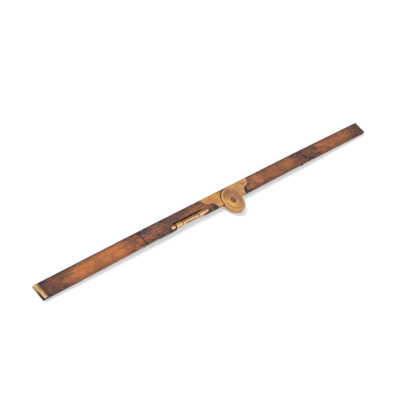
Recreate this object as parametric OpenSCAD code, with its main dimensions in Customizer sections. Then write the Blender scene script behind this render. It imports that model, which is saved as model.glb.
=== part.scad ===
// Two-foot, four-fold pocket rule with an arch head joint and a spirit level.
// The rule lies open and face up on a table. X runs along it, the head pivot
// stands on the Z axis, Z is up and the table is the plane z = 0.
// The left half of the rule is on the minus X side and carries the level.

/* [Legs] */
// Distance between joint centres, a quarter of the open rule
leg_len = 152.4; // [120:0.1:200]
// Width of one leg, half of the folded rule
leg_w = 17.46; // [15:0.01:26]
// Thickness of one leg
leg_t = 3.6; // [3.4:0.01:6]
// Distance that each inner edge stands back from the line through the head pivot
edge_relief = 0.15; // [0.1:0.05:0.4]
// Distance that each butting leg end stands back from the middle joint's pin
butt_relief = 0.15; // [0.1:0.05:0.4]
// Distance that each outer leg's tip stops short of the head pivot when folded
tip_relief = 0.3; // [0.2:0.05:1]

/* [Head joint] */
// Thickness of the brass cheeks and arch plates
cheek_t = 1.05; // [0.9:0.05:1.3]
// Distance from the outer edges to the round head's rim
head_in = 1.56; // [1:0.01:2.5]
// Distance that each leg's shoulder stands back from the line across the head pivot
shoulder_relief = 0.15; // [0.1:0.05:0.4]
// Gap between the round head and the leg that turns round it
head_gap = 0.3; // [0.2:0.05:0.6]
// Face clearance on each side of the centre tongue
tongue_play = 0.05; // [0.03:0.01:0.1]
// Length of the arch plates from the round head's rim to the middle of their ogee ends
arch_len = 19; // [15:0.5:26]
// Distance of the arch pins from the head's rim and from the middle of the ogee ends
arch_pin_in = 5.5; // [4:0.5:6]
// Length of the tongue's tail past its last pin
tail_past = 3; // [1.5:0.5:4]
// Wood left along each side of the tongue's tail
tongue_rail = 2; // [1.5:0.1:3]
// Radius of the pins through the arch plates
arch_pin_r = 0.75; // [0.5:0.05:0.9]
// Height of the raised middle of the top cheek above the leg's face
boss_h = 0.45; // [0.3:0.05:0.8]
// Radius of the raised middle, inside the bevelled scale ring
boss_r = 11.3; // [9:0.1:13]
// Width of the scribed circle round the raised middle
scribe_w = 0.35; // [0.2:0.05:0.6]
// Depth of the scribed circle
scribe_d = 0.25; // [0.1:0.05:0.3]
// Height of the head's rim above the arch plates
rim_h = 0.1; // [0.05:0.01:0.2]
// Radius of the head rivet's shank
rivet_r = 1.6; // [1.2:0.05:2]
// Radius of the collars under the rivet's ends
collar_r = 3.3; // [2.8:0.1:4.5]
// Thickness of the collars
collar_t = 0.5; // [0.4:0.05:0.6]
// Height of the rivet's domed end above its collar
dome_h = 0.3; // [0.1:0.05:0.5]

/* [Middle joints] */
// Outer radius of the middle joints' knuckles, which the rule stands on
knuckle_r = 2.4; // [2:0.05:2.6]
// Radius of the middle joints' pins
hinge_pin_r = 0.8; // [0.6:0.05:1]
// Distance of the pin's axis below the legs' lower faces
pin_drop = 0.15; // [0.1:0.05:0.3]
// Thickness of the leaves let into the legs
leaf_t = 1.1; // [0.9:0.05:1.3]
// Length of a leaf, measured from the pin
leaf_len = 20; // [16:0.5:30]
// Number of knuckles across the joint, an odd number
knuckles = 5; // [3:2:7]
// Gap between neighbouring knuckles
knuckle_gap = 0.12; // [0.1:0.01:0.3]
// Radius of the pins that hold the leaves
leaf_pin_r = 0.7; // [0.4:0.05:0.9]
// Clearance all round the knuckles in the ends of the legs
notch_gap = 0.3; // [0.2:0.05:0.5]

/* [Tips] */
// Length of the brass caps on the rule's two ends
tip_len = 6.2; // [5:0.1:15]
// Thickness of the caps' sheet brass
tip_t = 0.6; // [0.4:0.05:0.9]
// Radius of the caps' rivets
tip_pin_r = 0.5; // [0.3:0.05:0.7]

/* [Spirit level] */
// Distance from the head pivot to the middle of the level
level_x = 77; // [75:0.5:90]
// Length of the level's turned case without its end knobs
case_len = 51; // [44:0.5:60]
// Radius of the two barrels
barrel_r = 2.9; // [2.6:0.05:3]
// Length of each barrel
barrel_len = 10.5; // [8:0.5:12]
// Radius of the slimmer middle of the case
waist_r = 2.5; // [2.35:0.05:2.6]
// Radius of the case's bore
case_bore_r = 1.95; // [1.8:0.05:2]
// Width of the turned beads and of the grooves beside them
bead_w = 1.1; // [0.8:0.1:1.5]
// Length of the reading window
window_len = 19; // [14:0.5:21]
// Width of the reading window
window_w = 2.8; // [2:0.1:3.2]
// Space between each end of the vial and the plug of a knob
vial_room = 4; // [1:0.5:5]
// Outer radius of the glass vial
vial_r = 1.6; // [1.4:0.05:1.65]
// Wall of the glass vial
vial_wall = 0.35; // [0.2:0.05:0.5]
// Length of the glass vial
vial_len = 26; // [23:0.5:28]
// Length of the bubble
bubble_len = 7; // [4:0.5:10]
// Radius of the end knobs
knob_r = 2; // [1.7:0.05:2.1]
// Length of each end knob outside the case
knob_len = 7; // [5:0.5:8]
// Radius of the neck between a knob and the case
neck_r = 1.5; // [1.3:0.05:1.6]
// Distance from the inner edge to the level's side
level_inset = 0.45; // [0.2:0.05:1]
// Distance from the leg's lower face to the underside of the level
level_lift = 0.1; // [0.05:0.05:0.3]
// Open space behind the barrels
level_gap = 1.4; // [0.5:0.1:2]
// Clearance round the knobs in their troughs
knob_gap = 0.25; // [0.2:0.05:0.3]
// Radius of the screws that hold the knobs down
screw_r = 0.6; // [0.4:0.05:0.7]

/* [Hidden] */
$fn = 96;
fit = 0.02;
run_fit = 0.05;
seat = 0.05;
past = 1;
wood = [0.55, 0.33, 0.22];
brass = [0.82, 0.6, 0.32];
pale_brass = [0.9, 0.72, 0.5];
dark_brass = [0.4, 0.34, 0.28];
steel = [0.35, 0.3, 0.27];

// The pin's axis lies one knuckle above the table, and the lower faces of the
// inner legs a little higher. The outer legs droop until their tips touch.
pin_z = knuckle_r;
face_z = pin_z + pin_drop;
top_z = face_z + leg_t;
outer_len = leg_len - tip_relief;
droop = asin(knuckle_r / norm([outer_len, pin_drop])) + atan(pin_drop / outer_len);

// The round head is a little narrower than the shut rule, whose shoulders meet above it
head_r = leg_w - head_in;
arch_x = head_r + arch_len;
ogee_r = leg_w / 2;
wood_clear_r = head_r + head_gap;
tongue_len = arch_x - arch_pin_in + tail_past;
tongue_t = leg_t - 2 * cheek_t - 2 * tongue_play;
tongue_z = face_z + cheek_t + tongue_play;
arch_pins = [[head_r + arch_pin_in, leg_w * 0.3], [head_r + arch_pin_in, leg_w * 0.72],
    [arch_x - arch_pin_in, leg_w * 0.75], [arch_x + ogee_r * 0.4, leg_w * 0.77]];

leaf_z = knuckle_r - leaf_t;
leaf_start = knuckle_r + notch_gap;
lobe_w = (leg_w - edge_relief) / knuckles;
leaf_pin_x = [leaf_len * 0.38, leaf_len * 0.8];
leaf_pin_y = [leg_w * 0.25, leg_w * 0.75];

level_y = edge_relief + level_inset + barrel_r;
level_z = face_z + level_lift + barrel_r;
slot_back = level_y + barrel_r + level_gap;
slot_len = case_len + 2 * knob_gap;
trough_len = knob_len + knob_gap;
waist_len = case_len - 2 * barrel_len - 4 * bead_w;
plug_len = (case_len - vial_len) / 2 - vial_room;

module box(x0, x1, y0, y1, z0, z1) {
    translate([x0, y0, z0]) cube([x1 - x0, y1 - y0, z1 - z0]);
}

module cyl_y(r, y0, y1) {
    translate([0, y0, 0]) rotate([-90, 0, 0]) cylinder(r = r, h = y1 - y0);
}

// Moves a shape drawn round the pin of a middle joint to the right inner leg
module at_joint() {
    translate([leg_len, 0, pin_z]) children();
}

// The same for the outer leg, which droops to the table
module at_joint_drooped() {
    translate([leg_len, 0, pin_z]) rotate([0, droop, 0]) children();
}

module left_side() {
    mirror([1, 0, 0]) children();
}

// Plan of an arch plate: the leg's width up to an ogee of two quarter circles
module arch_plan(c = 0) {
    difference() {
        union() {
            translate([shoulder_relief - c, edge_relief - c])
                square([arch_x - shoulder_relief + c, leg_w - edge_relief + 2 * c]);
            intersection() {
                translate([arch_x, leg_w]) circle(r = ogee_r + c);
                translate([arch_x - past, leg_w - ogee_r - c]) square([ogee_r + 2 * past, ogee_r + 2 * c]);
            }
        }
        translate([arch_x, 0]) circle(r = ogee_r - c);
    }
}

module arch_pin_row(r, z0, z1) {
    for (p = arch_pins) translate([p[0], p[1], z0]) cylinder(r = r, h = z1 - z0, $fn = 32);
}

module leaf_pin_rows(r, dir, over = 0) {
    for (x = leaf_pin_x, y = leaf_pin_y)
        translate([dir * x, y, pin_drop - over]) cylinder(r = r, h = leg_t + 2 * over, $fn = 32);
}

module tip_pin_row(r, over = 0) {
    for (y = leaf_pin_y)
        translate([outer_len - tip_len / 2, y, pin_drop - over])
            cylinder(r = r, h = leg_t + 2 * over, $fn = 32);
}

// What a leaf, its pins and both leaves' knuckles take out of the end of a leg
module hinge_cut(dir) {
    x1 = leaf_len + seat;
    box(min(0, dir * x1), max(0, dir * x1), edge_relief - past, leg_w + past, leaf_z, knuckle_r);
    cyl_y(knuckle_r + notch_gap, edge_relief - past, leg_w + past);
    leaf_pin_rows(leaf_pin_r + fit, dir, past);
}

// A blank for an inner leg, hollowed round the head and let in for the plates
module inner_leg() {
    difference() {
        box(shoulder_relief, leg_len - butt_relief, edge_relief, leg_w, face_z, top_z);
        translate([0, 0, face_z - past]) cylinder(r = wood_clear_r, h = leg_t + 2 * past);
        translate([0, 0, top_z - cheek_t]) linear_extrude(cheek_t + past) arch_plan(seat);
        translate([0, 0, face_z - past]) linear_extrude(cheek_t + past) arch_plan(seat);
        arch_pin_row(arch_pin_r + fit, face_z - past, top_z + past);
        at_joint() hinge_cut(-1);
    }
}

module outer_leg() {
    difference() {
        box(butt_relief, outer_len - tip_t, edge_relief, leg_w, pin_drop, pin_drop + leg_t);
        hinge_cut(1);
        for (z = [pin_drop - past, pin_drop + leg_t - tip_t])
            box(outer_len - tip_len, outer_len, edge_relief - past, leg_w + past, z, z + tip_t + past);
        tip_pin_row(tip_pin_r + fit, past);
    }
}

// Brass cap folded over the end of an outer leg
module tip() {
    difference() {
        box(outer_len - tip_len, outer_len, edge_relief, leg_w, pin_drop, pin_drop + leg_t);
        box(outer_len - tip_len - past, outer_len - tip_t, edge_relief - past, leg_w + past,
            pin_drop + tip_t, pin_drop + leg_t - tip_t);
        tip_pin_row(tip_pin_r + fit, past);
    }
}

// One leaf of a middle joint. It lies in a saw cut, level with the top of the
// knuckles that grow from it. first is 0 or 1, the place of its first knuckle.
module leaf(dir, first) {
    bore = first == 0 ? hinge_pin_r + fit : hinge_pin_r + run_fit;
    root = dir * (leaf_start + seat);
    difference() {
        union() {
            box(min(dir * leaf_start, dir * leaf_len), max(dir * leaf_start, dir * leaf_len),
                edge_relief, leg_w, leaf_z, knuckle_r);
            for (i = [first:2:knuckles - 1]) {
                y0 = edge_relief + i * lobe_w + (i == 0 ? 0 : knuckle_gap / 2);
                y1 = edge_relief + (i + 1) * lobe_w - (i == knuckles - 1 ? 0 : knuckle_gap / 2);
                cyl_y(knuckle_r, y0, y1);
                box(min(0, root), max(0, root), y0, y1, leaf_z, knuckle_r);
            }
        }
        cyl_y(bore, edge_relief - past, leg_w + past);
        leaf_pin_rows(leaf_pin_r + fit, dir);
    }
}

module hinge_pin() {
    cyl_y(hinge_pin_r, edge_relief, leg_w);
}

// Top cheek: the round head with its bevelled scale ring, and the right arch plate
module cheek_blank(z) {
    translate([0, 0, z]) linear_extrude(cheek_t) {
        arch_plan();
        circle(r = head_r);
    }
}

module top_cheek() {
    color(brass) difference() {
        union() {
            cheek_blank(top_z - cheek_t);
            translate([0, 0, top_z]) rotate_extrude()
                polygon([[0, -seat], [head_r, -seat], [head_r, 0], [head_r - rim_h, rim_h],
                    [boss_r + scribe_w, boss_h - rim_h], [boss_r, boss_h], [0, boss_h]]);
        }
        translate([0, 0, top_z + boss_h - rim_h - scribe_d]) difference() {
            cylinder(r = boss_r + scribe_w, h = past);
            translate([0, 0, -past]) cylinder(r = boss_r, h = 3 * past);
        }
        translate([0, 0, top_z - cheek_t - past]) cylinder(r = rivet_r + fit, h = cheek_t + 3 * past);
        translate([0, 0, top_z + boss_h - collar_t]) cylinder(r = collar_r + fit, h = collar_t + past);
        arch_pin_row(arch_pin_r + fit, top_z - cheek_t - past, top_z + past);
    }
}

module bottom_cheek() {
    color(brass) difference() {
        cheek_blank(face_z);
        translate([0, 0, face_z - past]) cylinder(r = rivet_r + fit, h = cheek_t + 2 * past);
        translate([0, 0, face_z - past]) cylinder(r = collar_r + fit, h = collar_t + past);
        arch_pin_row(arch_pin_r + fit, face_z - past, face_z + cheek_t + past);
    }
}

// Tongue of the left leg: a disc between the cheeks, and a tail in the wood
module tongue_tail(c) {
    translate([0, tongue_rail - c]) square([tongue_len + c, leg_w - 2 * tongue_rail + 2 * c]);
}

module centre_tongue() {
    color(dark_brass) left_side() difference() {
        translate([0, 0, tongue_z]) linear_extrude(tongue_t) {
            circle(r = head_r - seat);
            tongue_tail(0);
        }
        translate([0, 0, tongue_z - past]) cylinder(r = rivet_r + run_fit, h = tongue_t + 2 * past);
        arch_pin_row(arch_pin_r + fit, tongue_z - past, tongue_z + tongue_t + past);
    }
}

module left_arch_plate(z) {
    color(brass) left_side() difference() {
        translate([0, 0, z]) linear_extrude(cheek_t) difference() {
            arch_plan();
            circle(r = wood_clear_r);
        }
        arch_pin_row(arch_pin_r + fit, z - past, z + cheek_t + past);
    }
}

module head_rivet() {
    color(pale_brass) translate([0, 0, face_z]) {
        cylinder(r = rivet_r, h = leg_t + boss_h);
        translate([0, 0, leg_t + boss_h]) intersection() {
            dome_r = (rivet_r * rivet_r + dome_h * dome_h) / (2 * dome_h);
            translate([0, 0, dome_h - dome_r]) sphere(r = dome_r);
            cylinder(r = rivet_r, h = dome_h + past);
        }
    }
}

module collar(z) {
    color(steel) translate([0, 0, z]) difference() {
        cylinder(r = collar_r, h = collar_t);
        translate([0, 0, -past]) cylinder(r = rivet_r + fit, h = collar_t + 2 * past);
    }
}

// Recess in the left inner leg: a slot open to the edge and to both faces for the
// case, and at each end a trough in which a knob is screwed down
module level_recess() {
    trough_floor = level_z - knob_r - knob_gap;
    translate([-level_x, 0, 0]) {
        box(-slot_len / 2, slot_len / 2, edge_relief - past, slot_back, face_z - past, top_z + past);
        box(-slot_len / 2 - trough_len, slot_len / 2 + trough_len, level_y - knob_r - knob_gap,
            level_y + knob_r + knob_gap, trough_floor, top_z + past);
        level_screw_row(screw_r + fit);
    }
}

module level_screw_row(r) {
    for (s = [-1, 1]) translate([s * (case_len / 2 + knob_len * 0.6), level_y, face_z])
        cylinder(r = r, h = level_z - face_z, $fn = 32);
}

module level_axis() {
    translate([-level_x, level_y, level_z]) rotate([0, 90, 0]) children();
}

// Turned case: barrel, groove, bead, waist with its window, bead, groove, barrel
module level_case() {
    step = (barrel_r - waist_r) / 2;
    half = waist_len / 2;
    bead0 = half + bead_w;
    barrel0 = half + 2 * bead_w;
    end = case_len / 2;
    color(pale_brass) difference() {
        level_axis() difference() {
            rotate_extrude() {
                translate([0, -half]) square([waist_r, 2 * half]);
                for (s = [0, 1]) mirror([0, s]) {
                    translate([0, half - seat]) square([barrel_r - step, bead_w + seat]);
                    translate([0, bead0 - seat]) square([waist_r - step, bead_w + 2 * seat]);
                    polygon([[0, barrel0], [barrel_r - step, barrel0], [barrel_r, barrel0 + step],
                        [barrel_r, end - step], [barrel_r - step, end], [0, end]]);
                }
            }
            translate([0, 0, -end - past]) cylinder(r = case_bore_r, h = case_len + 2 * past);
        }
        translate([-level_x - window_len / 2, -past, level_z - window_w / 2])
            cube([window_len, level_y + past, window_w]);
    }
}

module level_vial() {
    color([0.8, 0.9, 0.85, 0.4]) level_axis() difference() {
        translate([0, 0, -vial_len / 2]) cylinder(r = vial_r, h = vial_len);
        translate([0, 0, -vial_len / 2 + vial_wall]) cylinder(r = vial_r - vial_wall, h = vial_len - 2 * vial_wall);
    }
}

module level_spirit() {
    bore_r = vial_r - vial_wall - fit;
    spirit_len = vial_len - 2 * vial_wall - 2 * fit;
    bubble_r = bore_r * 0.55;
    color([0.75, 0.85, 0.35, 0.6]) level_axis() difference() {
        translate([0, 0, -spirit_len / 2]) cylinder(r = bore_r, h = spirit_len);
        translate([0, bubble_r - bore_r, bubble_r - bubble_len / 2]) {
            cylinder(r = bubble_r, h = bubble_len - 2 * bubble_r, $fn = 32);
            sphere(r = bubble_r, $fn = 32);
            translate([0, 0, bubble_len - 2 * bubble_r]) sphere(r = bubble_r, $fn = 32);
        }
    }
}

module level_bedding() {
    bed_len = (vial_len - window_len) / 2 - fit;
    color([0.9, 0.88, 0.82]) level_axis() for (s = [0, 1]) mirror([0, 0, s])
        translate([0, 0, vial_len / 2 - bed_len]) difference() {
            cylinder(r = case_bore_r - fit, h = bed_len);
            translate([0, 0, -past]) cylinder(r = vial_r + fit, h = bed_len + 2 * past);
        }
}

// Knob: a plug in the case's bore, a neck and a round-ended knob, turned in one
module level_knob(side) {
    round_r = knob_r / 2;
    color(pale_brass) difference() {
        level_axis() mirror([0, 0, side]) translate([0, 0, case_len / 2]) rotate_extrude() {
            translate([0, -plug_len]) square([case_bore_r - fit, plug_len]);
            square([neck_r, bead_w + seat]);
            translate([0, bead_w]) square([knob_r, knob_len - bead_w - round_r]);
            translate([0, knob_len - round_r - seat]) square([knob_r - round_r, round_r + seat]);
            intersection() {
                translate([knob_r - round_r, knob_len - round_r]) circle(r = round_r);
                square([knob_r, knob_len]);
            }
        }
        translate([-level_x, 0, 0]) level_screw_row(screw_r + fit);
    }
}

module level_screws() {
    color(steel) translate([-level_x, 0, 0]) level_screw_row(screw_r);
}

module left_inner_leg() {
    color(wood) difference() {
        left_side() difference() {
            inner_leg();
            translate([0, 0, face_z + cheek_t - past])
                linear_extrude(leg_t - 2 * cheek_t + 2 * past) tongue_tail(seat);
        }
        level_recess();
    }
}

color(wood) inner_leg();  // right_inner_leg
color(wood) at_joint_drooped() outer_leg();  // right_outer_leg
left_inner_leg();
color(wood) left_side() at_joint_drooped() outer_leg();  // left_outer_leg
top_cheek();
bottom_cheek();
centre_tongue();
left_arch_plate(top_z - cheek_t);  // left_top_arch_plate
left_arch_plate(face_z);  // left_bottom_arch_plate
head_rivet();
collar(top_z + boss_h - collar_t);  // top_rivet_collar
collar(face_z);  // bottom_rivet_collar
color(brass) arch_pin_row(arch_pin_r, face_z, top_z);  // right_arch_pins
color(brass) left_side() arch_pin_row(arch_pin_r, face_z, top_z);  // left_arch_pins
color(brass) at_joint() leaf(-1, 1);  // right_hinge_inner_leaf
color(brass) at_joint_drooped() leaf(1, 0);  // right_hinge_outer_leaf
color(steel) at_joint_drooped() hinge_pin();  // right_hinge_pin
color(brass) left_side() at_joint() leaf(-1, 1);  // left_hinge_inner_leaf
color(brass) left_side() at_joint_drooped() leaf(1, 0);  // left_hinge_outer_leaf
color(steel) left_side() at_joint_drooped() hinge_pin();  // left_hinge_pin
color(brass) at_joint() leaf_pin_rows(leaf_pin_r, -1);  // right_inner_leaf_pins
color(brass) at_joint_drooped() leaf_pin_rows(leaf_pin_r, 1);  // right_outer_leaf_pins
color(brass) left_side() at_joint() leaf_pin_rows(leaf_pin_r, -1);  // left_inner_leaf_pins
color(brass) left_side() at_joint_drooped() leaf_pin_rows(leaf_pin_r, 1);  // left_outer_leaf_pins
color(dark_brass) at_joint_drooped() tip();  // right_tip
color(brass) left_side() at_joint_drooped() tip();  // left_tip
color(dark_brass) at_joint_drooped() tip_pin_row(tip_pin_r);  // right_tip_pins
color(brass) left_side() at_joint_drooped() tip_pin_row(tip_pin_r);  // left_tip_pins
level_case();
level_vial();
level_spirit();
level_bedding();
level_knob(1);  // level_left_knob
level_knob(0);  // level_right_knob
level_screws();
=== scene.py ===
import math

import bmesh
import bpy
import numpy as np
from mathutils import Matrix, Vector


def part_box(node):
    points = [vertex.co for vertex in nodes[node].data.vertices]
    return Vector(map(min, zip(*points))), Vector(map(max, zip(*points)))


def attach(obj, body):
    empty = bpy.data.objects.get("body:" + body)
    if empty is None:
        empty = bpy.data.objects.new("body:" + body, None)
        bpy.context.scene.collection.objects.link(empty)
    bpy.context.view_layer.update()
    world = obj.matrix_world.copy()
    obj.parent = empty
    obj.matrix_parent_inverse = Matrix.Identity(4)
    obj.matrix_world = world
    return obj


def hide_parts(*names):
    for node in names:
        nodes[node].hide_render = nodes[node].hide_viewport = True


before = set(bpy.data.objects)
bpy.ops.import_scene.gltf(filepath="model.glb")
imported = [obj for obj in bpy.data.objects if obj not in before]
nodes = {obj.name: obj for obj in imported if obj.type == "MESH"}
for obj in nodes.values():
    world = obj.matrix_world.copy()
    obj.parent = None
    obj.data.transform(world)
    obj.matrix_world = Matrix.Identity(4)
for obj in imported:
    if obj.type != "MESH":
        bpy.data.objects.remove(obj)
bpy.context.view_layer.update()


# Camera. It stands beyond the left tip, high up, and is rolled so that the rule
# climbs to the right. Its focal length is that of a picture 400 pixels wide.
def add_object(name, data):
    """Puts data into the scene as an object, at the origin."""
    thing = bpy.data.objects.new(name, data)
    bpy.context.scene.collection.objects.link(thing)
    return thing


eye = Vector((-1.0381, -0.2844, 0.8210))
aim = Vector((-0.03547, 0.01988, 0))
roll = math.radians(37.081)
picture_width, focal_pixels = 400, 1213.6
lens = bpy.data.cameras.new("camera")
lens.sensor_width = 36
lens.lens = focal_pixels / picture_width * lens.sensor_width
lens.clip_start, lens.clip_end = 0.01, 20
camera = add_object("camera", lens)
turn = (aim - eye).to_track_quat("-Z", "Y").to_matrix().to_4x4()
camera.matrix_world = Matrix.Translation(eye) @ turn @ Matrix.Rotation(roll, 4, "Z")
bpy.context.scene.camera = camera


# Legs. Four strips of boxwood, varnished once and darkened by hands, oil and iron,
# rubbed back to orange where the rule was held. Their long edges are worn round.
class Wire:
    """One output of a shader node. A sum written on it adds the Math nodes that work it out."""

    def __init__(self, wiring, socket):
        self.wiring, self.socket = wiring, socket

    def math(self, operation, *others):
        """One Math node on this wire and others."""
        return self.wiring.node("ShaderNodeMath", {"operation": operation}, (self, *others))

    def __add__(self, other):
        return self.math("ADD", other)

    def __sub__(self, other):
        return self.math("SUBTRACT", other)

    def __rsub__(self, other):
        return self.wiring.node("ShaderNodeMath", {"operation": "SUBTRACT"}, (other, self))

    def __mul__(self, other):
        return self.math("MULTIPLY", other)

    def __pow__(self, other):
        return self.math("POWER", other)

    def __abs__(self):
        return self.math("ABSOLUTE")

    __radd__, __rmul__ = __add__, __mul__

    def rise(self, low, high):
        """0 below low, 1 above high, and a smooth climb between; low may be the larger."""
        if low > high:
            return 1 - self.rise(high, low)
        settings = {"interpolation_type": "SMOOTHSTEP"}
        return self.wiring.node("ShaderNodeMapRange", settings, (self, low, high, 0.0, 1.0))

    def swing(self, low, high):
        """-0.5 below low, 0.5 above high, and a smooth climb between."""
        return self.rise(low, high) - 0.5


class Wiring:
    """The nodes of one shader."""

    def __init__(self, tree):
        self.tree = tree

    def node(self, kind, settings=None, values=(), out=0):
        """Adds a node, sets it up, then fills its inputs with numbers or wires."""
        node = self.tree.nodes.new(kind)
        for key, value in (settings or {}).items():
            if key == "stops":
                fill_ramp(node.color_ramp, value)
            else:
                setattr(node, key, value)
        pairs = values.items() if isinstance(values, dict) else enumerate(values)
        for key, value in pairs:
            if isinstance(value, Wire):
                self.tree.links.new(value.socket, node.inputs[key])
            else:
                node.inputs[key].default_value = value
        return Wire(self, node.outputs[out])

    def mix(self, factor, a, b, blend="MIX"):
        """The colour b blended over a, by a factor from 0 to 1."""
        settings = {"data_type": "RGBA", "blend_type": blend}
        return self.node("ShaderNodeMix", settings, {0: factor, 6: a, 7: b}, out=2)

    def distance(self, a, b):
        """How far the place a is from b."""
        return self.node("ShaderNodeVectorMath", {"operation": "DISTANCE"}, (a, b), out="Value")


class Finish(Wiring):
    """A material. place is the surface point in millimetres, colour the one laid on so far."""

    def __init__(self, name):
        self.material = bpy.data.materials.new(name)
        self.material.use_nodes = True
        super().__init__(self.material.node_tree)
        self.shader = self.tree.nodes["Principled BSDF"]
        metres = self.node("ShaderNodeTexCoord", out="Object")
        self.place = self.node("ShaderNodeVectorMath", {"operation": "SCALE"}, {0: metres, "Scale": 1000.0})
        self.x, self.y, self.z = (
            self.node("ShaderNodeSeparateXYZ", {}, (self.place,), out=axis) for axis in "XYZ"
        )

    def noise(self, size, stretch=(1, 1, 1), seed=0.0, detail=3.0, rough=0.55, distortion=0.0):
        """Cloudy values round 0.5. size is in millimetres; stretch lengthens it along X, Y and Z."""
        scaled = self.node(
            "ShaderNodeVectorMath",
            {"operation": "MULTIPLY_ADD"},
            (self.place, [1 / (size * s) for s in stretch], (seed, seed * 1.7, seed * 2.3)),
        )
        values = {"Vector": scaled, "Scale": 1.0, "Detail": detail, "Roughness": rough,
                  "Distortion": distortion}
        return self.node("ShaderNodeTexNoise", {}, values)

    def spot(self, x, y, half_x, half_y, soft=0.9, place=None):
        """1 inside an ellipse on the rule's face, fading out over the share soft of its radius."""
        size = (1 / half_x, 1 / half_y, 0)
        scaled = self.node("ShaderNodeVectorMath", {"operation": "MULTIPLY"}, (place or self.place, size))
        reach = self.distance(scaled, (x / half_x, y / half_y, 0))
        return reach.rise(1 + soft / 2, 1 - soft / 2)

    def lay(self, factor, shade, blend="MIX"):
        """Lays a shade over the colour so far, as thick as the factor from 0 to 1."""
        self.colour = self.mix(factor, self.colour, shade, blend)

    def daub(self, x, y, half_x, half_y, strength, shade):
        """Lays a shade over the colour so far in one soft spot."""
        self.lay(self.spot(x, y, half_x, half_y) * strength, shade)

    def bump(self, height, depth):
        """Leans the surface by a height that goes from 0 to 1, over depth millimetres."""
        values = {"Strength": 1.0, "Distance": depth / 1000, "Height": height}
        self.use(Normal=self.node("ShaderNodeBump", {}, values))

    def use(self, **values):
        """Feeds the shader: numbers on its own sockets, wires into them."""
        for name, value in values.items():
            socket = self.shader.inputs[name.replace("_", " ")]
            if isinstance(value, Wire):
                self.tree.links.new(value.socket, socket)
            else:
                socket.default_value = value


def most(first, *others):
    """The largest of several values, worked out at each point."""
    for other in others:
        first = first.math("MAXIMUM", other)
    return first


def hypot(a, b):
    """The long side of a right triangle: the square root of a squared plus b squared."""
    return (a ** 2 + b ** 2) ** 0.5


def tone(red, green, blue):
    """A colour as a paint card gives it, 0 to 255, as the shader's linear values."""
    card = np.array((red, green, blue)) / 255
    linear = np.where(card < 0.04045, card / 12.92, ((card + 0.055) / 1.055) ** 2.4)
    return (*linear.tolist(), 1.0)


def fill_ramp(ramp, stops):
    """Sets a ramp's first and last stop, then puts the others between them."""
    ramp.elements[0].position, ramp.elements[1].position = stops[0][0], stops[-1][0]
    for position, value in stops[1:-1]:
        ramp.elements.new(position)
    for stop, (position, value) in zip(ramp.elements, stops):
        stop.color = value if isinstance(value, tuple) else (value, value, value, 1.0)


# The outer legs droop about the middle joints' pins, which lie pin_drop below the wood
leg_len, half_rule = 152.4, 305.0
pin_z, pin_drop, leg_t, butt_gap = 2.4, 0.15, 3.6, 0.15
droop = math.radians(0.9606)
inner_edge, outer_edge = (corner.y * 1000 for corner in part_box("right_inner_leg"))
top_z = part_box("right_inner_leg")[1].z * 1000
edge_wear = 0.35

# Each arch plate ends in two quarter circles of this radius, at this distance from the pivot
ogee_x, ogee_r = 34.9, 8.73

# How far the varnish is rubbed back along the rule: 0 dark, 1 bright
rubbed_along = [
    (-305, 0.18), (-284, 0.28), (-268, 0.38), (-260, 0.74), (-244, 1.0), (-226, 0.8), (-192, 0.99),
    (-176, 0.8), (-156, 0.54), (-130, 0.45), (-106, 0.15), (-84, 0.3), (-60, 0.54), (-40, 0.36),
    (30, 0.3), (46, 0.46), (58, 0.72), (76, 0.5), (92, 0.7), (108, 0.55), (124, 0.66), (134, 0.52),
    (152, 0.28), (176, 0.24), (190, 0.38), (204, 0.64), (246, 0.62), (268, 0.5), (284, 0.2), (305, 0.06),
]
# How uneven it is along the rule: 1 where water and dirt got under the varnish
uneven_along = [
    (-305, 0.1), (-285, 0.2), (-270, 0.6), (-256, 0.2), (-192, 0.0), (-176, 0.7), (-154, 0.8),
    (-126, 1.0), (-108, 0.5), (-40, 0.5), (40, 0.7), (62, 0.6), (84, 0.2), (136, 0.2), (158, 1.0),
    (184, 0.8), (210, 0.2), (305, 0.0),
]
wood_tones = [
    (0.0, tone(46, 31, 31)), (0.22, tone(88, 61, 54)), (0.5, tone(128, 82, 60)),
    (0.78, tone(164, 101, 63)), (1.0, tone(198, 120, 68)),
]
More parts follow.
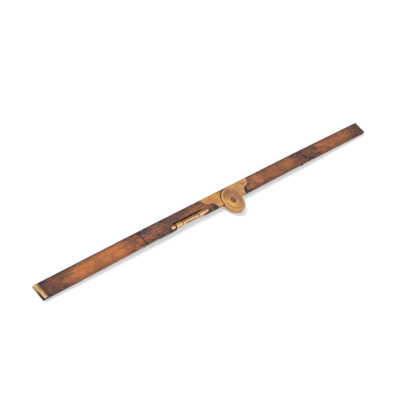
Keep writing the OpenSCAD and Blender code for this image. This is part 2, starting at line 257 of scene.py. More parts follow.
# Stains: colour, strength, middle x and y, half length and half width
stains = [
    (tone(78, 58, 80), 0.45, -291, 13, 7, 2.6),
    (tone(76, 64, 46), 0.5, -289, 8.6, 5, 2.0),
    (tone(106, 72, 60), 0.5, -284, 7.0, 12, 9.0),
    (tone(100, 68, 58), 0.45, -256, 15.6, 14, 2.4),
    (tone(186, 112, 70), 0.5, -262, 4.0, 6, 3.0),
    (tone(150, 80, 48), 0.5, -219, 9, 4.5, 3.0),
    (tone(158, 84, 84), 0.5, -204, 3.2, 7, 1.8),
    (tone(116, 62, 46), 0.5, -165, 6, 6, 2.6),
    (tone(98, 78, 82), 0.4, -118, 7.4, 34, 8.0),
    (tone(52, 52, 66), 0.85, -144.5, 13.8, 6.5, 2.2),
    (tone(150, 118, 104), 0.6, -147, 9.9, 7, 1.1),
    (tone(158, 84, 58), 0.6, -147, 6.4, 5.5, 1.9),
    (tone(156, 86, 70), 0.45, -132, 10.6, 7, 2.6),
    (tone(78, 48, 48), 0.6, -130, 3.6, 9, 2.6),
    (tone(158, 112, 92), 0.5, -125, 14.6, 10, 2.2),
    (tone(158, 100, 44), 0.6, -118, 11.6, 2.6, 1.4),
    (tone(92, 62, 76), 0.5, -93, 11.6, 8, 2.2),
    (tone(164, 108, 80), 0.5, -68, 8.8, 22, 1.8),
    (tone(176, 90, 54), 0.55, -61, 11.2, 4.4, 1.8),
    # Painted shade, not a stain: it carries the shadow line of the slot's wall past the level's left knob
    (tone(44, 28, 26), 0.85, -104.4, 6.8, 4.2, 1.0),
    (tone(58, 34, 30), 0.6, -109.4, 2.8, 1.8, 1.8),
    (tone(116, 96, 62), 0.4, -71, 13.8, 4.2, 1.6),
    (tone(120, 102, 60), 0.4, -52, 11.8, 3.0, 1.2),
    (tone(170, 110, 80), 0.6, 43.5, 4.6, 4, 3.0),
    (tone(178, 122, 102), 0.55, 62, 9.4, 7.4, 5.6),
    (tone(190, 90, 48), 0.75, 62, 9.6, 5.0, 3.8),
    (tone(186, 116, 84), 0.4, 61, 10.2, 2.6, 1.8),
    (tone(108, 54, 38), 0.6, 64, 9.0, 1.4, 1.0),
    (tone(78, 62, 44), 0.6, 79, 15.4, 4, 1.6),
    (tone(104, 70, 56), 0.55, 105, 10, 2.4, 7),
    (tone(172, 108, 76), 0.4, 130, 11, 6, 2.4),
    (tone(64, 42, 44), 0.65, 156, 9.5, 6, 8),
    (tone(130, 92, 92), 0.6, 153.5, 8.6, 4.4, 3.6),
    (tone(44, 30, 34), 0.7, 160.5, 7.6, 1.7, 4.0),
    (tone(84, 52, 50), 0.5, 164, 15.0, 7, 2.4),
    (tone(140, 104, 60), 0.6, 151, 3.4, 4, 1.0),
    (tone(106, 80, 44), 0.7, 177, 9.6, 13, 3.0),
    (tone(64, 44, 34), 0.6, 168.5, 9.6, 3, 2),
    (tone(60, 42, 32), 0.6, 186, 10.5, 4, 2),
    (tone(78, 42, 48), 0.6, 172, 3.4, 15, 2.8),
    (tone(104, 52, 34), 0.6, 200, 4.2, 9, 2.6),
    (tone(134, 84, 66), 0.5, 50, 15.2, 8, 2.0),
    (tone(104, 62, 28), 0.65, 207, 8.0, 3.4, 1.8),
    (tone(180, 118, 96), 0.6, 257, 14.8, 9, 2.0),
    (tone(58, 38, 34), 0.6, 216, 3.2, 4, 1.6),
    (tone(50, 38, 36), 0.6, 225, 15.8, 4, 1.4),
    (tone(134, 96, 58), 0.45, 273, 9, 6, 4),
]


def along_rule(wood, x, stops):
    """A value that changes along the rule. stops are (place in millimetres, value)."""
    shares = [(0.5 + place / half_rule / 2, value) for place, value in stops]
    return wood.node("ShaderNodeValToRGB", {"stops": shares}, (x * (0.5 / half_rule) + 0.5,))


def from_ogee(finish, y):
    """Distance from the middle of the ogee's quarter circle at y, on the left and the right leg."""
    folded = finish.node("ShaderNodeCombineXYZ", {}, (abs(finish.x), finish.y, 0.0))
    return finish.distance(folded, (ogee_x, y, 0))


def wood_finish(name, ink=0.0):
    """Old boxwood. ink darkens it, for the cuts of the scale, more where less was rubbed away."""
    wood = Finish(name)

    # Places stray a little along and across the leg, so that no stain has a smooth outline
    stray_x = (wood.noise(14, seed=8.0, detail=2.0) - 0.5) * 22
    stray_y = (wood.noise(9, seed=3.0, detail=2.0) - 0.5) * 9
    warp = wood.node("ShaderNodeCombineXYZ", {}, (stray_x, stray_y, 0.0))
    strayed = wood.node("ShaderNodeVectorMath", {"operation": "ADD"}, (wood.place, warp))
    strayed_x = wood.node("ShaderNodeSeparateXYZ", {}, (strayed,), out="X")

    # The varnish is rubbed back in streaks with the grain, more in the middle of the leg
    along = along_rule(wood, strayed_x, rubbed_along)
    uneven = along_rule(wood, wood.x, uneven_along)
    streaks = wood.noise(2.1, (13, 1, 1), seed=1.0, detail=2.0, rough=0.5)
    fibres = wood.noise(0.3, (60, 1, 1), seed=5.0)
    mottles = wood.noise(5, (3.4, 1, 1), seed=11.0, detail=2.0)
    swirls = wood.noise(3.6, (3.4, 1, 1), seed=71.0, detail=2.0, distortion=1.0)
    curls = wood.noise(4.2, (3, 1, 1), seed=83.0, detail=1.0, distortion=0.9)
    ripples = wood.noise(4, (1, 5, 5), seed=17.0, detail=2.0)
    middle = abs(wood.y - 9.4).rise(8.5, 3.0)
    smooth = wood.x.rise(66, 82) * wood.x.rise(146, 132) * 0.4
    grain = (streaks.swing(0.32, 0.68) * 0.34 + (fibres - 0.5) * 0.12
             + mottles.swing(0.34, 0.66) * 0.22 + swirls.swing(0.34, 0.66) * 0.2)
    rubbed = (along + grain * (uneven * 0.6 + 0.6 - smooth) + curls.swing(0.34, 0.66) * uneven * 0.66
              + (ripples - 0.5) * 0.3 + middle * 0.14 - 0.07)
    wood.colour = wood.node("ShaderNodeValToRGB", {"stops": wood_tones}, (rubbed,))

    # Three tints that oil and age gave it, then the stains
    red = wood.noise(6, (2.5, 1, 1), seed=23.0).rise(0.54, 0.66)
    wood.lay(red * 0.48, tone(160, 80, 62))
    olive = wood.noise(5, (2, 1, 1), seed=47.0, detail=2.0).rise(0.55, 0.68)
    wood.lay(olive * 0.24, tone(146, 112, 64))
    violet = wood.noise(8, (3, 1, 1), seed=31.0, detail=2.0).rise(0.52, 0.66) * along.rise(0.7, 0.3)
    wood.lay(violet * 0.4, tone(92, 74, 78))
    for stain, strength, x, y, half_x, half_y in stains:
        wood.lay(wood.spot(x, y, half_x, half_y, place=strayed) * strength, stain)

    # Specks, light where the varnish chipped and dark where dirt stayed
    specks = wood.noise(1.8, (2.4, 1, 1), seed=97.0, detail=2.0)
    speckled = uneven * 0.4 + 0.14 + wood.x.rise(-258, -272) * 0.14 - wood.x.rise(-148, -156) * 0.1
    wood.lay(specks.rise(0.53, 0.66) * speckled * 0.72, tone(176, 118, 96))
    wood.lay(specks.rise(0.48, 0.36) * speckled, tone(54, 38, 34))

    # The right half was varnished in a warmer colour
    wood.lay(wood.x.rise(-20, 200) * 0.8, (1.03, 0.9, 0.7, 1.0), "MULTIPLY")

    # Beside the right tip it is brown-black, up to a straight edge
    wood.lay(strayed_x.rise(284.0, 292.0) * 0.3 + wood.x.rise(288.8, 290.2) * 0.5, tone(86, 58, 44))

    # Inside the hollow of an ogee end it is blackened from the brass
    hollow = from_ogee(wood, inner_edge).rise(ogee_r + 0.27, ogee_r - 0.93)
    wood.lay(hollow * abs(strayed_x).rise(39.5, 32.0) * 0.85, tone(56, 43, 44))

    # Grime along both edges, at the joints, beside the tips and in the pores
    upper_edge = wood.y.rise(11.5, 17.0) * (0.3 + (streaks - 0.5) * 1.4) + wood.y.rise(16.0, 17.0) * 0.65
    cleaner = 1 - wood.x.rise(-262, -276) * 0.75
    lower_edge = wood.y.rise(4.6, 0.2) * (0.34 + (streaks - 0.5) * 1.2) * cleaner
    joint = abs(abs(wood.x) - leg_len - 0.6).rise(1.9, 0.4) * (0.78 - wood.x.rise(-60, 60) * 0.24)
    beside_tip = abs(wood.x).rise(295.6, 297.8) * (0.5 + wood.y.rise(7, 14) * 0.4)
    pores = wood.noise(0.55, (9, 1, 1), seed=41.0, detail=2.0).rise(0.66, 0.74)
    grime = most(upper_edge, lower_edge, joint, beside_tip, pores * (uneven * 0.4 + 0.2))
    wood.lay(grime.math("MINIMUM", 0.9), tone(50, 34, 31))
    if ink:
        kept = wood.noise(3, (2, 1, 1), seed=53.0).rise(0.3, 0.55)
        wood.lay(kept * ink, tone(34, 26, 26))

    wood.use(Base_Color=wood.colour, Roughness=0.6 - rubbed * 0.14, Specular_IOR_Level=0.22)
    dents = wood.noise(2.2, (2.5, 1, 1), seed=61.0, detail=2.0)
    wood.bump(fibres * 0.3 + dents * 0.7 - pores * 0.4, 0.12)
    return wood.material


def plain_copy(node, name):
    """A copy of a piece's surface: loose corners joined, and flat areas made whole again."""
    shape = bmesh.new()
    shape.from_mesh(nodes[node].data)
    bmesh.ops.remove_doubles(shape, verts=shape.verts, dist=3e-6)
    bmesh.ops.dissolve_limit(shape, angle_limit=math.radians(0.5), verts=shape.verts, edges=shape.edges)
    shape.verts.ensure_lookup_table()
    mesh = bpy.data.meshes.new(name)
    mesh.from_pydata([v.co[:] for v in shape.verts], [], [[v.index for v in f.verts] for f in shape.faces])
    shape.free()
    return add_object(name, mesh)


def level_points(points):
    """Points with x from a middle joint's pin and z from the wood's lower face, in millimetres.

    An outer leg is turned back about the pin by its droop: x cos - z sin, x sin + z cos.
    """
    x, z = np.abs(points[:, 0]) - leg_len, points[:, 2] - pin_z
    outer = x > 0
    flat_x = np.where(outer, x * math.cos(droop) - z * math.sin(droop), x)
    flat_z = np.where(outer, x * math.sin(droop) + z * math.cos(droop), z)
    return np.stack([flat_x, points[:, 1], flat_z - pin_drop], 1)


def round_edges(piece, end, width):
    """Rounds the edges where two of a leg's four long sides and its end meet. end is the end's x.

    An edge is chosen where both of its points lie on two of these planes, in level_points.
    """
    planes = [(1, inner_edge), (1, outer_edge), (2, 0), (2, leg_t), (0, end)]
    mesh = piece.data
    points = np.empty(len(mesh.vertices) * 3)
    mesh.vertices.foreach_get("co", points)
    points = level_points(points.reshape(-1, 3) * 1000)
    on = np.stack([np.abs(points[:, axis] - place) < 0.02 for axis, place in planes], 1)
    ends = np.empty(len(mesh.edges) * 2, int)
    mesh.edges.foreach_get("vertices", ends)
    ends = ends.reshape(-1, 2)
    chosen = (on[ends[:, 0]] & on[ends[:, 1]]).sum(1) >= 2
    weight = mesh.attributes.new("bevel_weight_edge", "FLOAT", "EDGE")
    weight.data.foreach_set("value", chosen.astype(np.float32))
    mesh.polygons.foreach_set("use_smooth", np.ones(len(mesh.polygons), bool))
    mesh.set_sharp_from_angle(angle=math.radians(30))
    bevel = piece.modifiers.new("worn", "BEVEL")
    bevel.width, bevel.segments, bevel.limit_method = width / 1000, 3, "WEIGHT"
    bevel.harden_normals = True
    bevel.use_clamp_overlap = True


boxwood = wood_finish("boxwood")
leg_bodies = {
    "right_inner_leg": "right_inner", "left_inner_leg": "left_inner",
    "right_outer_leg": "right_outer", "left_outer_leg": "left_outer",
}
for node, body in leg_bodies.items():
    leg = plain_copy(node, node.replace("_leg", "_wood"))
    round_edges(leg, butt_gap if "outer" in node else -butt_gap, edge_wear)
    leg.data.materials.append(boxwood)
    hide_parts(node)
    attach(leg, body)

# Scale. Inches in sixteenths along the outer edges, numbered from the left tip, cut
# with a knife and inked, and mostly worn away since.
inch, inches, lift = 25.4, 24, 0.02
half_cut, cut_top, shortest_cut, longer_by = 0.09, 16.95, 1.6, 0.8
arch_end, last_cut, last_figure = 46, 297, 295

# A figure stands to the left of its inch, by figure_back. A font's size is 1.38 times its figures' height
figure_foot, figure_height, figure_back, font_share = 9.3, 2.7, 3.4, 1.38
scale_ink = wood_finish("scale_ink", 0.48)
box_corners = np.array([(-1, -1, -1), (1, -1, -1), (1, 1, -1), (-1, 1, -1),
                        (-1, -1, 1), (1, -1, 1), (1, 1, 1), (-1, 1, 1)])
box_faces = np.array([(3, 2, 1, 0), (4, 5, 6, 7), (0, 1, 5, 4), (1, 2, 6, 5), (2, 3, 7, 6), (3, 0, 4, 7)])


def on_face(points):
    """Points at x and y on the rule laid flat, z above the wood, put on its drooping upper faces.

    On an outer leg, x cos + z sin and z cos - x sin turn them about the middle joint's pin.
    """
    past = np.abs(points[:, 0]) - leg_len
    outer = past > 0
    z = np.where(outer, pin_drop + leg_t + points[:, 2], top_z - pin_z + points[:, 2])
    along = np.where(outer, past * math.cos(droop) + z * math.sin(droop), past)
    height = np.where(outer, z * math.cos(droop) - past * math.sin(droop), z)
    return np.stack([np.sign(points[:, 0]) * (leg_len + along), points[:, 1], pin_z + height], 1)


def cut_meshes(x, length):
    """Corners and faces of flat closed boxes that hang down by length from the outer edge.

    Each corner is a box's middle plus its half sizes times -1 or 1.
    """
    middle = np.stack([x, cut_top - length / 2, np.full_like(x, lift / 2)], 1)
    half = np.stack([np.full_like(x, half_cut), length / 2, np.full_like(x, lift / 2)], 1)
    corners = middle[:, None] + half[:, None] * box_corners
    faces = box_faces + np.arange(len(x))[:, None, None] * 8
    return corners.reshape(-1, 3), faces.reshape(-1, 4).tolist()


def figure_mesh(text, x):
    """Corners and faces of plain figures, their middle at x."""
    curve = bpy.data.curves.new("figures", "FONT")
    curve.body, curve.size, curve.extrude = text, figure_height * font_share, lift / 2
    curve.resolution_u, curve.align_x = 3, "CENTER"
    holder = bpy.data.objects.new("figures", curve)
    mesh = bpy.data.meshes.new_from_object(holder)
    bpy.data.objects.remove(holder)
    corners = np.empty(len(mesh.vertices) * 3)
    mesh.vertices.foreach_get("co", corners)
    corners = corners.reshape(-1, 3) + (x, figure_foot, lift / 2)
    return corners, [tuple(f.vertices) for f in mesh.polygons]


def on_leg(body, x):
    """Whether x lies on the leg of that body."""
    side = 1 if "right" in body else -1
    return (x * side > 0) & ((np.abs(x) > leg_len) == ("outer" in body))


sixteenths = np.arange(1, inches * 16)
cut_x = (sixteenths / 16 - inches / 2) * inch
cut_length = shortest_cut + longer_by * sum(sixteenths % n == 0 for n in (2, 4, 8, 16))
bare = (np.abs(cut_x) < arch_end) | (np.abs(cut_x) > last_cut) | (np.abs(np.abs(cut_x) - leg_len) < 0.5)
for body in leg_bodies.values():
    here = on_leg(body, cut_x) & ~bare
    parts = [cut_meshes(cut_x[here], cut_length[here])]
    for number in range(1, inches):
        x = (number - inches / 2) * inch - figure_back
        if arch_end < abs(x) < last_figure and on_leg(body, x):
            parts.append(figure_mesh(str(number), x))
    firsts = np.cumsum([0] + [len(corners) for corners, _ in parts])
    corners = on_face(np.concatenate([corners for corners, _ in parts])) / 1000
    faces = [[k + first for k in face] for (_, faces), first in zip(parts, firsts) for face in faces]
    mesh = bpy.data.meshes.new(f"{body}_scale")
    mesh.from_pydata(corners.tolist(), [], faces)
    mesh.materials.append(scale_ink)
    scale = add_object(f"{body}_scale", mesh)
    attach(scale, body)

# Arch head joint. Sheet-brass cheeks and arch plates, let in flush with the wood and
# turning on a brass rivet with iron collars, handled to a dull gold and browned in places.
head_r = 15.9


def brass_finish(name, bright, brown, shade=0.4, rough=0.36):
    """Handled brass: bright where it is rubbed, brown in patches, with fine scratches."""
    brass = Finish(name)
    patches = brass.noise(5, seed=2.0, detail=2.0, rough=0.6)
    fine = brass.noise(1.5, (1.6, 1, 1), seed=7.0)
    scratches = brass.noise(0.16, (22, 1, 1), seed=13.0, detail=2.0)
    rubs = brass.noise(1.1, (9, 1, 1), seed=29.0, detail=2.0)
    tarnish = (patches.swing(0.3, 0.7) * 0.5 + fine.swing(0.34, 0.66) * 0.3 + (scratches - 0.5) * 0.35
               + rubs.swing(0.34, 0.66) * 0.46 + shade)
    brass.colour = brass.mix(tarnish.rise(0.0, 1.0), bright, brown)
    copper = brass.noise(2.0, (3, 1, 1), seed=43.0, detail=2.0).rise(0.5, 0.64)
    brass.lay(copper * 0.3, (1.0, 0.84, 0.76, 1.0), "MULTIPLY")
    brass.use(Metallic=0.85, Base_Color=brass.colour, Roughness=rough + tarnish.rise(0.2, 1.0) * 0.22)
    brass.bump(scratches * 0.5 + fine * 0.5, 0.02)
    return brass


def rub_ogee(brass):
    """Paints a pale highlight along the two quarter circles in which an arch plate ends, as on a bevelled
    rim that catches the light.
    """
    for y, off, on in ((inner_edge, 36, 34.5), (outer_edge, 33.5, 35)):
        rim = abs(from_ogee(brass, y) - ogee_r).rise(1.4, 0.2) * abs(brass.x).rise(off, on)
        brass.lay(rim * 0.7, tone(226, 184, 134))


def set_finish(finish, *names):
    """Gives a finish to CAD pieces that are seen as they are."""
    for name in names:
        for material_slot in nodes[name].material_slots:
            material_slot.material = finish.material


# The left arch plates are golden near the head and pinkish towards the inner edge, with a brown
# patch between, painted pale highlights at their ogees and one lower corner, a duller outer edge
# and painted shade beside the head.
plate_edge = tone(140, 106, 76)
plate_brass = brass_finish("plate_brass", tone(216, 156, 88), tone(156, 108, 72), 0.42)
plate_brass.daub(-20.5, 11.5, 5.5, 6, 0.5, tone(216, 168, 84))
plate_brass.daub(-30, 12.5, 6, 4, 0.3, tone(216, 148, 88))
plate_brass.lay(plate_brass.y.rise(7, 2) * 0.3, tone(214, 150, 108))
# Painted pale highlights along the ogees
rub_ogee(plate_brass)
# Painted highlight at the plate's lower corner
plate_brass.daub(-23, 2.5, 4, 2.2, 0.15, tone(238, 188, 150))
plate_brass.lay(plate_brass.y.rise(16.4, 17.0) * 0.5, plate_edge)
plate_brass.daub(-28, 8.8, 10, 3.6, 0.4, tone(172, 114, 74))
# Painted shade beside the head, as in a gap between plate and head
beside_head = hypot(plate_brass.x, plate_brass.y).rise(head_r + 1.5, head_r + 0.7)
plate_brass.lay(beside_head * 0.95, tone(84, 48, 24))
plate_brass.use(Base_Color=plate_brass.colour)

# The top cheek is the round head and the right arch plate in one sheet
head = brass_finish("head_brass", tone(218, 158, 88), tone(160, 110, 76), 0.45)
radius = hypot(head.x, head.y)
on_head = radius.rise(head_r + 0.2, head_r - 0.1)
head.lay(head.spot(12, 14, 10, 4) * (1 - on_head) * 0.55, tone(210, 162, 74))
head.daub(25, 8, 6, 5, 0.3, tone(232, 162, 92))
# Painted highlight at the right arch's lower corner
head.daub(30.5, 3.5, 5, 3, 0.4, tone(238, 184, 140))
head.lay(head.y.rise(16.4, 17.0) * (1 - on_head) * 0.5, plate_edge)
# Painted pale highlights along the right arch's ogees
rub_ogee(head)

# Painted reflection splits the round head: golden at the lower left, brown at the upper right
wander = (head.noise(7, seed=19.0, detail=2.0) - 0.5) * 7
brown_reflection_side = (head.x * 0.74 + head.y * 0.67 + wander).rise(-7.5, 2.5)
head.lay(on_head * (1 - brown_reflection_side) * 0.85, tone(246, 184, 110))
head.lay(on_head * head.spot(0, -10, 5, 4.2) * 0.6, tone(178, 124, 78))
head.lay(on_head * (1 - brown_reflection_side) * radius.rise(12.4, 13.6) * 0.5, tone(186, 134, 80))
head.lay(on_head * brown_reflection_side * 0.7, tone(164, 112, 80))
head.daub(4.4, -4.4, 3, 3, 0.4, tone(236, 176, 112))
head.daub(-5.8, 0, 2.6, 2.6, 0.3, tone(176, 128, 92))
head.daub(3.5, 4.5, 5.5, 5.0, 0.4, tone(182, 132, 114))
head.lay(on_head * head.spot(0.5, 10.8, 5.5, 3.2, 1.0) * 0.6, tone(146, 112, 56))
head.lay(on_head * head.spot(8, 11, 4, 3, 1.0) * 0.5, tone(188, 116, 96))

# It was faced in a lathe, which left fine rings. A ring is scribed near its rim, browned at
# the lower left, with a pale band outside it at the lower right. It is darker round the collar.
rings = head.node("ShaderNodeTexNoise", {"noise_dimensions": "1D"}, {"W": radius * 2.2, "Detail": 3.0})
head.lay(rings.swing(0.35, 0.65) * on_head * 0.4, tone(120, 80, 50))
lower_right = (head.x * 0.57 - head.y * 0.82).rise(6.5, 13.0)
head.lay(radius.rise(11.7, 13.6) * on_head * lower_right * 0.8, tone(182, 150, 122))
lower_left = (head.x * 0.85 + head.y * 0.52).rise(-8.0, -10.5)
browned = radius.rise(10.4, 11.2) * radius.rise(13.4, 12.2) * lower_left
broken = head.noise(2.6, seed=37.0, detail=2.0).rise(0.3, 0.5)
head.lay(browned * broken * 0.45, tone(172, 98, 40))
scribed = abs(radius - 11.8).rise(0.7, 0.2) * (0.1 + lower_left * broken * 0.5)
head.lay(scribed, tone(100, 60, 30))
beside_collar = abs(hypot(head.x + 0.3, head.y + 0.6) - 2.8).rise(1.2, 0.3)
head.lay(beside_collar * 0.72, tone(92, 54, 34))

# On the left leg's side the rim has a painted highlight, with painted shade outside it and on
# the wall below, as in a gap. A brown line of painted shade parts the head from the right arch,
# and the rest of its wall is painted paler, as if lit.
left_rim = (head.x - head.y * 0.1).rise(0.5, -1.5) * head.y.rise(-1.0, 0.0)
head.lay(radius.rise(13.2, 14.2) * on_head * left_rim * 0.55, tone(236, 188, 130))
head.lay(radius.rise(15.0, 15.4) * on_head * left_rim * 0.9, tone(88, 52, 28))
# Painted shade along the head's edge at the right arch
head_edge_shade = abs(radius - head_r).rise(0.9, 0.1) * head.x.rise(1, 4) * head.y.rise(-1, 2)
head.lay(head_edge_shade * 0.5, tone(120, 80, 46))
# Painted light on the rest of the wall
side_wall = radius.rise(head_r - 0.15, head_r - 0.05) * head.z.rise(top_z + 0.05, top_z - 0.05)
head.lay(side_wall * (1 - left_rim) * 0.6, tone(186, 152, 112))
head.use(Base_Color=head.colour)

iron = Finish("browned_iron")
rust = iron.noise(0.8, seed=4.0)
iron.use(Base_Color=iron.mix(rust.rise(0.35, 0.65), tone(74, 52, 44), tone(112, 74, 54)),
         Metallic=0.6, Roughness=0.5)
iron.bump(rust, 0.03)

set_finish(head, "top_cheek", "bottom_cheek")
set_finish(plate_brass, "left_top_arch_plate", "left_bottom_arch_plate")
set_finish(plate_brass, "right_arch_pins", "left_arch_pins")
set_finish(brass_finish("rivet_brass", tone(158, 112, 80), tone(104, 70, 50), 0.5, 0.45), "head_rivet")
set_finish(iron, "top_rivet_collar", "bottom_rivet_collar")

# Tongue. The brass disc between the cheeks, with a tail that is let into the left leg
# and pinned. It shows only at its rim and was never polished.
tongue_brass = brass_finish("tarnished_brass", tone(204, 168, 124), tone(154, 120, 86), 0.5, 0.5)
set_finish(tongue_brass, "centre_tongue")

# Middle joints. Rolled brass leaves set in saw cuts in the legs and riveted, with iron
# pins through their knuckles. The left ones are worn pale, the right ones are dark.
worn_leaf = brass_finish("worn_leaf", tone(224, 216, 184), tone(156, 142, 112), 0.4, 0.42)
dark_leaf = brass_finish("dark_leaf", tone(112, 84, 64), tone(62, 47, 40), 0.55, 0.5)
for side, finish in (("right", dark_leaf), ("left", worn_leaf)):
    set_finish(finish, f"{side}_hinge_inner_leaf", f"{side}_hinge_outer_leaf")
    set_finish(dark_leaf, f"{side}_inner_leaf_pins", f"{side}_outer_leaf_pins")
    set_finish(iron, f"{side}_hinge_pin")

# Tips. Sheet brass folded over the two ends and riveted through. The left one is
# rubbed pale, the right one is nearly black with a worn end.
tip_end, tip_wear = leg_len - 0.3, 0.4
tip_brass = brass_finish("tip_brass", tone(236, 190, 142), tone(196, 140, 100), 0.36)

# Greenish towards the outer edge, with a red patch, pink at the inner edge, pale at the end's fold
tip_brass.lay(tip_brass.y.rise(9, 13) * 0.7, tone(192, 158, 98))
tip_brass.lay(tip_brass.y.rise(4.6, 2.4) * 0.6, tone(240, 196, 170))
tip_brass.daub(-301, 11, 1.6, 2.2, 0.6, tone(204, 120, 92))
tip_brass.lay(tip_brass.x.rise(-302.2, -303.4) * 0.6, tone(232, 200, 128))

# Dirt lies along the wood and at both side edges. Painted shade darkens most of the end face.
beside_wood = tip_brass.x.rise(-301.9, -299.2) * 0.85
at_inner_edge = tip_brass.y.rise(1.5, 0.4) * 0.8
at_outer_edge = tip_brass.y.rise(16.6, 17.3) * 0.4
tip_brass.lay(most(beside_wood, at_inner_edge, at_outer_edge), tone(92, 60, 38))
# Painted shade on the end face
shaded_end_face = tip_brass.x.rise(-303.9, -304.3) * (0.4 + tip_brass.y.rise(16.0, 5.0) * 0.6)
tip_brass.lay(shaded_end_face * 0.95, tone(30, 20, 8))
tip_brass.use(Base_Color=tip_brass.colour)

right_tip_brass = brass_finish("right_tip_brass", tone(104, 78, 66), tone(72, 54, 46), 0.5, 0.5)
worn_end = right_tip_brass.x.rise(301.8, 303.6) * right_tip_brass.y.rise(2, 9)
right_tip_brass.lay(worn_end * 0.8, tone(154, 136, 122))
right_tip_brass.use(Base_Color=right_tip_brass.colour)
for side, finish, slot in (("right", right_tip_brass, "tarnished_brass"), ("left", tip_brass, "brass")):
    cap = plain_copy(f"{side}_tip", f"{side}_folded_tip")
    round_edges(cap, tip_end, tip_wear)
    cap.data.materials.append(finish.material)
    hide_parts(f"{side}_tip")
    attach(cap, f"{side}_outer")
    set_finish(finish, f"{side}_tip_pins")

# Spirit level. Turned brass, brighter than the plates, with grime in its grooves. A
# glass vial, bedded in plaster, shows in the window of the waist.
level_x, level_y, level_z = -77, 3.5, 5.55
turned_brass = brass_finish("turned_brass", tone(186, 132, 80), tone(128, 82, 50), 0.4, 0.34)
from_axis = hypot(turned_brass.y - level_y, turned_brass.z - level_z)
from_middle = abs(turned_brass.x - level_x)

# Left barrel yellow, right end duller; painted highlight makes the knobs pale pink, painted shade darkens
# the far side
turned_brass.lay(turned_brass.spot(-98, 4.5, 5, 3, 1.0) * 0.7, tone(222, 150, 56))
# Painted highlight on the knobs
turned_brass.lay(from_middle.rise(26.2, 27.4) * 0.7, tone(232, 186, 160))
turned_brass.lay(turned_brass.x.rise(-66, -60) * 0.6, tone(182, 116, 72))
# Painted shade on the far side
turned_brass.lay(turned_brass.y.rise(2.7, 5.4) * 0.55, tone(128, 78, 42))

# Painted highlight: a bright line along its near side, on its upper half
crest_highlight = abs(turned_brass.y - level_y + 1.6).rise(1.5, 0.4)
upper_half = turned_brass.z.rise(level_z - 0.6, level_z + 0.8)
turned_brass.lay(crest_highlight * upper_half * 0.85, tone(252, 208, 156))

# Grime stays in the grooves and at the necks of the knobs; painted shade darkens the far side
# behind the case, its inside and the underside of its waist
in_groove = (from_axis.rise(2.62, 2.4) * from_axis.rise(2.0, 2.2)
             * from_middle.rise(11.5, 13.0) * from_middle.rise(15.8, 15.2))
at_neck = abs(from_middle - 26.0).rise(0.9, 0.4)
behind = turned_brass.y.rise(level_y + 1.9, level_y + 2.6)
inside = from_axis.rise(2.1, 1.95) * from_middle.rise(25.6, 25.2)
under = turned_brass.z.rise(level_z + 0.2, level_z - 0.8) * from_middle.rise(15, 13)
turned_brass.lay(most(in_groove, at_neck, behind * 0.75, inside, under * 0.7) * 0.9, tone(84, 50, 24))
turned_brass.use(Base_Color=turned_brass.colour)
set_finish(turned_brass, "level_case", "level_left_knob", "level_right_knob")
set_finish(iron, "level_screws")

glass = Finish("vial_glass")
clouds = glass.noise(2, seed=3.0)
glass.use(Base_Color=tone(236, 244, 238), Transmission_Weight=1.0, IOR=1.5,
          Roughness=0.02 + clouds.rise(0.5, 0.8) * 0.06)
set_finish(glass, "level_vial")
spirit = Finish("spirit")
spirit_depth = spirit.noise(4, seed=6.0)
spirit.use(Base_Color=spirit.mix(spirit_depth, tone(150, 142, 62), tone(122, 120, 50)),
           Transmission_Weight=1.0, IOR=1.36, Roughness=0.0)
set_finish(spirit, "level_spirit")
plaster = Finish("plaster")
chalk = plaster.noise(0.4, seed=9.0, detail=4.0)
plaster.use(Base_Color=plaster.mix(chalk, tone(150, 134, 108), tone(112, 96, 72)), Roughness=0.9)
plaster.bump(chalk, 0.05)
set_finish(plaster, "level_bedding")

# Slot shade filler. A dark brown block behind the level, at the bottom of its slot, put there
# as painted shade, so that no light comes up there. Its top is a little wavy: a sum of two sines.
slot_start, slot_end, slot_front, slot_back, slot_floor = -102.2, -51.8, 5.45, 7.76, 2.62
steps = np.linspace(slot_start, slot_end, 64)
top = 3.15 + 0.12 * np.sin(steps * 1.9) + 0.08 * np.sin(steps * 4.3)
floor_line = np.full_like(top, slot_floor)
y = np.array([slot_front, slot_back, slot_back, slot_front])
z = np.stack([floor_line, floor_line, top + 0.1, top - 0.05], 1)
points = np.stack(np.broadcast_arrays(steps[:, None], y[None], z), 2).reshape(-1, 3)
first_ring = np.array([(k, (k + 1) % 4, (k + 1) % 4 + 4, k + 4) for k in range(4)])
sides = first_ring[None] + np.arange(len(steps) - 1)[:, None, None] * 4
ends = [(3, 2, 1, 0), tuple(4 * len(steps) - 4 + k for k in range(4))]
mesh = bpy.data.meshes.new("slot_shade_filler")
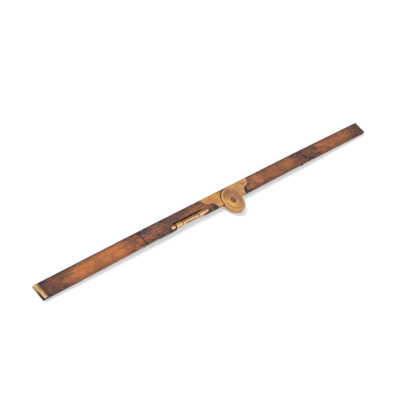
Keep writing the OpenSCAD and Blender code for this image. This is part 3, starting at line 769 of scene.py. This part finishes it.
mesh.from_pydata((points / 1000).tolist(), [], sides.reshape(-1, 4).tolist() + ends)
filler = Finish("slot_shade_brown")
filler_mottle = filler.noise(0.7, seed=3.0, detail=4.0)
filler.use(Base_Color=filler.mix(filler_mottle, tone(78, 44, 20), tone(124, 76, 38)), Roughness=0.95)
filler.bump(filler_mottle, 0.1)
mesh.materials.append(filler.material)
shade_filler = add_object("slot_shade_filler", mesh)
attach(shade_filler, "left_inner")


# Floor and light. A white table in a light tent, with the brightest side beyond the
# rule's outer edge, so that the shadow falls towards the inner one.
def seen(wiring):
    """1 for what is seen itself, also mirrored or through glass, and 0 for what only gives light."""
    rays = ("Is Camera Ray", "Is Glossy Ray", "Is Transmission Ray")
    return most(*(wiring.node("ShaderNodeLightPath", out=ray) for ray in rays))


floor_half, floor_grey, glow_grey = 3.0, 0.8, 0.35
floor_mesh = bpy.data.meshes.new("table")
corners = [(-floor_half, -floor_half, 0), (floor_half, -floor_half, 0), (floor_half, floor_half, 0),
           (-floor_half, floor_half, 0)]
floor_mesh.from_pydata(corners, [], [(0, 1, 2, 3)])
table = Finish("white_table")
glow = table.mix(seen(table), (0.0, 0.0, 0.0, 1.0), (glow_grey, glow_grey, glow_grey, 1.0))
table.use(Base_Color=(floor_grey, floor_grey, floor_grey, 1.0), Roughness=1.0, Specular_IOR_Level=0.0,
          Emission_Color=glow, Emission_Strength=1.0)
floor_mesh.materials.append(table.material)
add_object("table", floor_mesh)

tent_light, tent_white = 0.56, 1.0
world = bpy.data.worlds.new("tent")
bpy.context.scene.world = world
world.use_nodes = True
sky = Wiring(world.node_tree)
strength = seen(sky) * (tent_white - tent_light) + tent_light
background = world.node_tree.nodes["Background"]
background.inputs["Color"].default_value = (1, 1, 1, 1)
world.node_tree.links.new(strength.socket, background.inputs["Strength"])

sun = bpy.data.lights.new("key", "SUN")
sun.energy, sun.angle = 1.9, math.radians(24)
key = add_object("key", sun)
key.matrix_world = Vector((0.8, -0.9, -1.2)).to_track_quat("-Z", "Y").to_matrix().to_4x4()

bpy.context.scene.view_settings.view_transform = "Standard"
